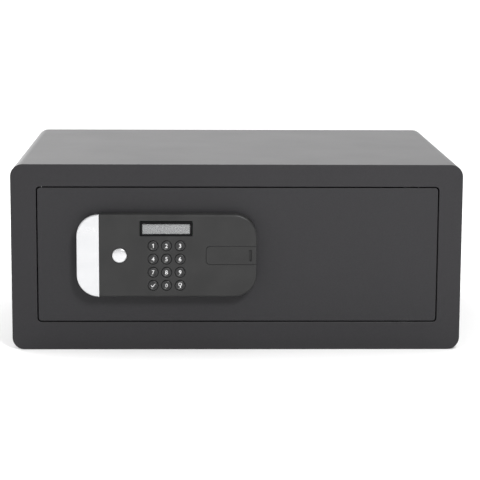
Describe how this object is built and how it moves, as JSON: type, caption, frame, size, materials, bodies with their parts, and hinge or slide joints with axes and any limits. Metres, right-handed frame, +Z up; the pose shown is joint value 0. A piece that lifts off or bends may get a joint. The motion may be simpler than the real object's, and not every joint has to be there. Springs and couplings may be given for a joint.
{
  "type": "in-room safe",
  "caption": "Wide, low steel room safe with a flush hinged door, motor-driven bolts, and a raised black lock housing with round keys, a small display and a bright pull grip.",
  "frame": {"origin": "centre of the underside of the cabinet, on the plane it stands on", "axes": "+X to the right as the user faces the door, +Y from the door to the back panel, +Z up"},
  "size_m": [0.48, 0.366, 0.2],
  "materials": {
    "body_paint": "charcoal powder coat, fine texture, satin",
    "door_paint": "charcoal powder coat, fine texture, satin",
    "zinc": "bright zinc plate",
    "brass": "turned, unpolished",
    "chrome": "polished chrome plate",
    "black_plastic": "fine spark-eroded grain, satin",
    "gloss_plastic": "polished black",
    "key_plastic": "semi-gloss black with white printed signs",
    "display_window": "clear hard-coated acrylic with a black border",
    "lcd_grey": "grey reflective display",
    "silicone": "matt silicone rubber",
    "circuit_board": "green solder resist",
    "battery_skin": "printed film sleeve, no marks",
    "red_plastic": "red moulded",
    "lead_skin": "black insulation",
    "felt": "dense needle felt"
  },
  "bodies": {
    "cabinet": {"body_shell": "body_paint", "front_frame": "body_paint", "back_panel": "body_paint", "floor_mat": "felt", "hinge_bracket_upper": "body_paint", "hinge_bracket_lower": "body_paint", "thrust_washer": "zinc", "bolt_strike": "body_paint"},
    "door": {"door_plate": "door_paint", "dog_bar": "door_paint", "hinge_knuckle_upper": "door_paint", "hinge_knuckle_lower": "door_paint", "door_cover": "door_paint", "hinge_pin_upper": "zinc", "hinge_pin_lower": "zinc", "cover_screw_1": "zinc", "cover_screw_2": "zinc", "cover_screw_3": "zinc", "cover_screw_4": "zinc", "bolt_guide": "zinc", "guide_post_lower": "zinc", "guide_post_upper": "zinc", "motor": "zinc", "lock_cylinder": "zinc", "cylinder_nut": "brass", "chrome_grip": "chrome", "lock_housing": "black_plastic", "gearbox": "black_plastic", "battery_box": "black_plastic", "power_socket": "gloss_plastic", "display_lens": "display_window", "lcd_panel": "lcd_grey", "keypad_membrane": "silicone", "keypad_board": "circuit_board", "control_board": "circuit_board", "battery_cells": "battery_skin", "motor_lead": "lead_skin", "battery_lead": "lead_skin", "keypad_cable": "lead_skin"},
    "bolt_work": {"bolt_carriage": "zinc", "lock_bolt_lower": "zinc", "lock_bolt_upper": "zinc"},
    "drive_pinion": {"drive_pinion": "brass"},
    "key_plug": {"key_plug": "brass"},
    "keyhole_cap": {"keyhole_cap": "chrome"},
    "service_cover": {"service_cover": "black_plastic"},
    "battery_cover": {"battery_cover": "black_plastic"},
    "reset_button": {"reset_button": "red_plastic"},
    "key_1": {"key_1": "key_plastic"},
    "key_2": {"key_2": "key_plastic"},
    "key_3": {"key_3": "key_plastic"},
    "key_4": {"key_4": "key_plastic"},
    "key_5": {"key_5": "key_plastic"},
    "key_6": {"key_6": "key_plastic"},
    "key_7": {"key_7": "key_plastic"},
    "key_8": {"key_8": "key_plastic"},
    "key_9": {"key_9": "key_plastic"},
    "key_enter": {"key_enter": "key_plastic"},
    "key_0": {"key_0": "key_plastic"},
    "key_code": {"key_code": "key_plastic"}
  },
  "joints": [
    {"name": "door_hinge", "type": "hinge", "parent": "cabinet", "child": "door", "pos_m": [0.1815, -0.162, 0.1], "axis": [0, 0, 1], "range_deg": [0, 100]},
    {"name": "bolt_slide", "type": "slide", "parent": "door", "child": "bolt_work", "axis": [1, 0, 0], "range_m": [-0.02, 0]},
    {"name": "pinion_turn", "type": "hinge", "parent": "door", "child": "drive_pinion", "pos_m": [-0.075, -0.1445, 0.1297], "axis": [0, 1, 0], "range_deg": [-191.5, 0]},
    {"name": "plug_turn", "type": "hinge", "parent": "door", "child": "key_plug", "pos_m": [-0.1244, -0.17, 0.1048], "axis": [0, 1, 0], "range_deg": [0, 90]},
    {"name": "cap_pull", "type": "slide", "parent": "door", "child": "keyhole_cap", "axis": [0, -1, 0], "range_m": [0, 0.03]},
    {"name": "service_cover_slide", "type": "slide", "parent": "door", "child": "service_cover", "axis": [1, 0, 0], "range_m": [0, 0.06]},
    {"name": "battery_cover_pull", "type": "slide", "parent": "door", "child": "battery_cover", "axis": [0, 1, 0], "range_m": [0, 0.03]},
    {"name": "reset_press", "type": "slide", "parent": "door", "child": "reset_button", "axis": [0, -1, 0], "range_m": [0, 0.001], "stiffness_N_per_m": 400, "springref_m": -0.002},
    {"name": "key_1_press", "type": "slide", "parent": "door", "child": "key_1", "axis": [0, 1, 0], "range_m": [0, 0.0012], "stiffness_N_per_m": 300, "springref_m": -0.002},
    {"name": "key_2_press", "type": "slide", "parent": "door", "child": "key_2", "axis": [0, 1, 0], "range_m": [0, 0.0012], "stiffness_N_per_m": 300, "springref_m": -0.002},
    {"name": "key_3_press", "type": "slide", "parent": "door", "child": "key_3", "axis": [0, 1, 0], "range_m": [0, 0.0012], "stiffness_N_per_m": 300, "springref_m": -0.002},
    {"name": "key_4_press", "type": "slide", "parent": "door", "child": "key_4", "axis": [0, 1, 0], "range_m": [0, 0.0012], "stiffness_N_per_m": 300, "springref_m": -0.002},
    {"name": "key_5_press", "type": "slide", "parent": "door", "child": "key_5", "axis": [0, 1, 0], "range_m": [0, 0.0012], "stiffness_N_per_m": 300, "springref_m": -0.002},
    {"name": "key_6_press", "type": "slide", "parent": "door", "child": "key_6", "axis": [0, 1, 0], "range_m": [0, 0.0012], "stiffness_N_per_m": 300, "springref_m": -0.002},
    {"name": "key_7_press", "type": "slide", "parent": "door", "child": "key_7", "axis": [0, 1, 0], "range_m": [0, 0.0012], "stiffness_N_per_m": 300, "springref_m": -0.002},
    {"name": "key_8_press", "type": "slide", "parent": "door", "child": "key_8", "axis": [0, 1, 0], "range_m": [0, 0.0012], "stiffness_N_per_m": 300, "springref_m": -0.002},
    {"name": "key_9_press", "type": "slide", "parent": "door", "child": "key_9", "axis": [0, 1, 0], "range_m": [0, 0.0012], "stiffness_N_per_m": 300, "springref_m": -0.002},
    {"name": "key_enter_press", "type": "slide", "parent": "door", "child": "key_enter", "axis": [0, 1, 0], "range_m": [0, 0.0012], "stiffness_N_per_m": 300, "springref_m": -0.002},
    {"name": "key_0_press", "type": "slide", "parent": "door", "child": "key_0", "axis": [0, 1, 0], "range_m": [0, 0.0012], "stiffness_N_per_m": 300, "springref_m": -0.002},
    {"name": "key_code_press", "type": "slide", "parent": "door", "child": "key_code", "axis": [0, 1, 0], "range_m": [0, 0.0012], "stiffness_N_per_m": 300, "springref_m": -0.002}
  ],
  "couplings": [
    {"joint": "pinion_turn", "follows": "bolt_slide", "rad_per_m": 166.67}
  ]
}
